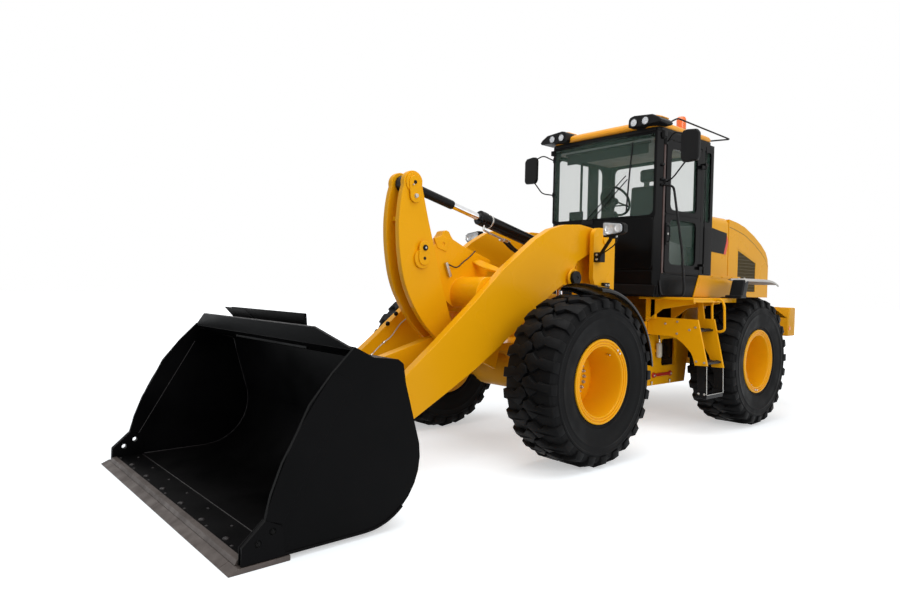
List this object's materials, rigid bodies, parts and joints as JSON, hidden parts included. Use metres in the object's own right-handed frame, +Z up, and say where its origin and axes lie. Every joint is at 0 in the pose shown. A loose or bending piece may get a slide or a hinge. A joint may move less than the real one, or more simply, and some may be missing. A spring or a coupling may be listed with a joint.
{
  "type": "articulated wheel loader",
  "caption": "Four-wheel articulated loader with a glazed cab, hinged lift arms, tilt linkage and a wide front bucket.",
  "frame": {"origin": "middle of the footprint of the whole machine, on the ground", "axes": "+X forward towards the bucket, +Y to the left, +Z up"},
  "size_m": [8.23, 2.65, 3.64],
  "materials": {
    "yellow_paint": "semi-gloss enamel",
    "roof_yellow": "semi-gloss enamel",
    "black_paint": "satin enamel",
    "black_plastic": "matte moulded",
    "grey_plastic": "matte moulded",
    "tyre_rubber": "matte",
    "rod_chrome": "polished",
    "edge_steel": "oxidised",
    "engine_iron": "rough",
    "cab_glass": "clear",
    "seat_cloth": "woven",
    "lamp_lens": "clear",
    "beacon_amber": "translucent"
  },
  "bodies": {
    "chassis": {"rear_frame": "yellow_paint", "left_platform_and_ladder": "yellow_paint", "right_platform_and_ladder": "yellow_paint", "left_rear_fender": "grey_plastic", "right_rear_fender": "grey_plastic", "engine_block": "engine_iron", "counterweight": "yellow_paint", "engine_cowl": "yellow_paint", "exhaust_stack": "engine_iron", "rear_axle": "yellow_paint", "cab_shell": "black_paint", "cab_roof": "roof_yellow", "windshield": "cab_glass", "rear_window": "cab_glass", "right_window": "cab_glass", "left_rear_window": "cab_glass", "seat": "seat_cloth", "steering_console": "black_plastic", "left_mirror": "black_plastic", "right_mirror": "black_plastic", "beacon": "beacon_amber"},
    "front_frame": {"front_frame": "yellow_paint", "front_axle": "yellow_paint", "left_front_fender": "black_plastic", "right_front_fender": "black_plastic", "left_headlight": "lamp_lens", "right_headlight": "lamp_lens"},
    "boom": {"left_lift_arm": "yellow_paint", "right_lift_arm": "yellow_paint", "arm_cross_tube": "yellow_paint"},
    "bucket": {"bucket_shell": "black_paint", "cutting_edge": "edge_steel"},
    "tilt_lever": {"tilt_lever": "yellow_paint"},
    "tilt_link": {"tilt_link": "yellow_paint"},
    "tilt_barrel": {"tilt_cylinder_barrel": "black_paint"},
    "tilt_rod": {"tilt_cylinder_rod": "rod_chrome"},
    "door": {"cab_door": "black_paint", "door_glass_upper": "cab_glass", "door_glass_lower": "cab_glass"},
    "hood": {"engine_hood": "yellow_paint"},
    "front_left_wheel": {"front_left_tyre": "tyre_rubber", "front_left_rim": "yellow_paint"},
    "front_right_wheel": {"front_right_tyre": "tyre_rubber", "front_right_rim": "yellow_paint"},
    "rear_left_wheel": {"rear_left_tyre": "tyre_rubber", "rear_left_rim": "yellow_paint"},
    "rear_right_wheel": {"rear_right_tyre": "tyre_rubber", "rear_right_rim": "yellow_paint"},
    "left_lift_barrel": {"left_lift_cylinder_barrel": "yellow_paint"},
    "left_lift_rod": {"left_lift_cylinder_rod": "rod_chrome"},
    "left_steering_barrel": {"left_steering_cylinder_barrel": "yellow_paint"},
    "left_steering_rod": {"left_steering_cylinder_rod": "rod_chrome"},
    "right_lift_barrel": {"right_lift_cylinder_barrel": "yellow_paint"},
    "right_lift_rod": {"right_lift_cylinder_rod": "rod_chrome"},
    "right_steering_barrel": {"right_steering_cylinder_barrel": "yellow_paint"},
    "right_steering_rod": {"right_steering_cylinder_rod": "rod_chrome"}
  },
  "joints": [
    {"name": "steer", "type": "hinge", "parent": "chassis", "child": "front_frame", "pos_m": [-0.665, 0, 0.73], "axis": [0, 0, 1], "range_deg": [-40, 40]},
    {"name": "front_left_wheel_spin", "type": "hinge", "parent": "front_frame", "child": "front_left_wheel", "pos_m": [0.835, 1.005, 0.74], "axis": [0, 1, 0], "continuous": true},
    {"name": "front_right_wheel_spin", "type": "hinge", "parent": "front_frame", "child": "front_right_wheel", "pos_m": [0.835, -1.005, 0.74], "axis": [0, 1, 0], "continuous": true},
    {"name": "rear_left_wheel_spin", "type": "hinge", "parent": "chassis", "child": "rear_left_wheel", "pos_m": [-2.165, 1.005, 0.74], "axis": [0, 1, 0], "continuous": true},
    {"name": "rear_right_wheel_spin", "type": "hinge", "parent": "chassis", "child": "rear_right_wheel", "pos_m": [-2.165, -1.005, 0.74], "axis": [0, 1, 0], "continuous": true},
    {"name": "boom_lift", "type": "hinge", "parent": "front_frame", "child": "boom", "pos_m": [-0.075, 0, 2.025], "axis": [0, -1, 0], "range_deg": [-2, 78]},
    {"name": "bucket_tilt", "type": "hinge", "parent": "boom", "child": "bucket", "pos_m": [2.665, 0, 0.42], "axis": [0, -1, 0], "range_deg": [-118, 42]},
    {"name": "tilt_lever_turn", "type": "hinge", "parent": "boom", "child": "tilt_lever", "pos_m": [1.945, 0, 1.76], "axis": [0, -1, 0], "range_deg": [-8.74, 24.19]},
    {"name": "tilt_link_turn", "type": "hinge", "parent": "tilt_lever", "child": "tilt_link", "pos_m": [1.585, 0, 1.01], "axis": [0, -1, 0], "range_deg": [-30.81, 11.09]},
    {"name": "tilt_cylinder_turn", "type": "hinge", "parent": "front_frame", "child": "tilt_barrel", "pos_m": [-0.055, 0, 1.9], "axis": [0, -1, 0], "range_deg": [-2.12, 75.22]},
    {"name": "tilt_cylinder_slide", "type": "slide", "parent": "tilt_barrel", "child": "tilt_rod", "axis": [0.9718, 0, 0.236], "range_m": [-0.2604, 0.0953]},
    {"name": "left_lift_cylinder_turn", "type": "hinge", "parent": "front_frame", "child": "left_lift_barrel", "pos_m": [0.265, 0.33, 0.52], "axis": [0, -1, 0], "range_deg": [-3.28, 0.28]},
    {"name": "left_lift_cylinder_slide", "type": "slide", "parent": "left_lift_barrel", "child": "left_lift_rod", "axis": [0.0662, 0, 0.9978], "range_m": [-0.0222, 0.7139]},
    {"name": "left_steering_cylinder_turn", "type": "hinge", "parent": "chassis", "child": "left_steering_barrel", "pos_m": [-1.425, 0.27, 0.735], "axis": [0, 0, 1], "range_deg": [-9.8, 9.8]},
    {"name": "left_steering_cylinder_slide", "type": "slide", "parent": "left_steering_barrel", "child": "left_steering_rod", "axis": [0.9995, 0.0303, 0], "range_m": [-0.2047, 0.2047]},
    {"name": "right_lift_cylinder_turn", "type": "hinge", "parent": "front_frame", "child": "right_lift_barrel", "pos_m": [0.265, -0.33, 0.52], "axis": [0, -1, 0], "range_deg": [-3.28, 0.28]},
    {"name": "right_lift_cylinder_slide", "type": "slide", "parent": "right_lift_barrel", "child": "right_lift_rod", "axis": [0.0662, 0, 0.9978], "range_m": [-0.0222, 0.7139]},
    {"name": "right_steering_cylinder_turn", "type": "hinge", "parent": "chassis", "child": "right_steering_barrel", "pos_m": [-1.425, -0.27, 0.735], "axis": [0, 0, 1], "range_deg": [-9.8, 9.8]},
    {"name": "right_steering_cylinder_slide", "type": "slide", "parent": "right_steering_barrel", "child": "right_steering_rod", "axis": [0.9995, -0.0303, 0], "range_m": [-0.2047, 0.2047]},
    {"name": "cab_door_swing", "type": "hinge", "parent": "chassis", "child": "door", "pos_m": [-1.678, 0.78, 2.3], "axis": [0, 0, 1], "range_deg": [0, 85]},
    {"name": "hood_tilt", "type": "hinge", "parent": "chassis", "child": "hood", "pos_m": [-3.525, 0, 1.5], "axis": [0, -1, 0], "range_deg": [0, 55]}
  ],
  "couplings": [
    {"joint": "tilt_lever_turn", "follows": "bucket_tilt", "ratio": -0.2033},
    {"joint": "tilt_link_turn", "follows": "bucket_tilt", "ratio": 0.2594},
    {"joint": "tilt_cylinder_turn", "follows": "boom_lift", "ratio": 0.9618},
    {"joint": "tilt_cylinder_slide", "follows": "bucket_tilt", "m_per_rad": 0.1245},
    {"joint": "left_lift_cylinder_turn", "follows": "boom_lift", "ratio": -0.0395},
    {"joint": "left_lift_cylinder_slide", "follows": "boom_lift", "m_per_rad": 0.5215},
    {"joint": "left_steering_cylinder_turn", "follows": "steer", "ratio": 0.24},
    {"joint": "left_steering_cylinder_slide", "follows": "steer", "m_per_rad": -0.2875},
    {"joint": "right_lift_cylinder_turn", "follows": "boom_lift", "ratio": -0.0395},
    {"joint": "right_lift_cylinder_slide", "follows": "boom_lift", "m_per_rad": 0.5215},
    {"joint": "right_steering_cylinder_turn", "follows": "steer", "ratio": 0.24},
    {"joint": "right_steering_cylinder_slide", "follows": "steer", "m_per_rad": 0.2875}
  ]
}
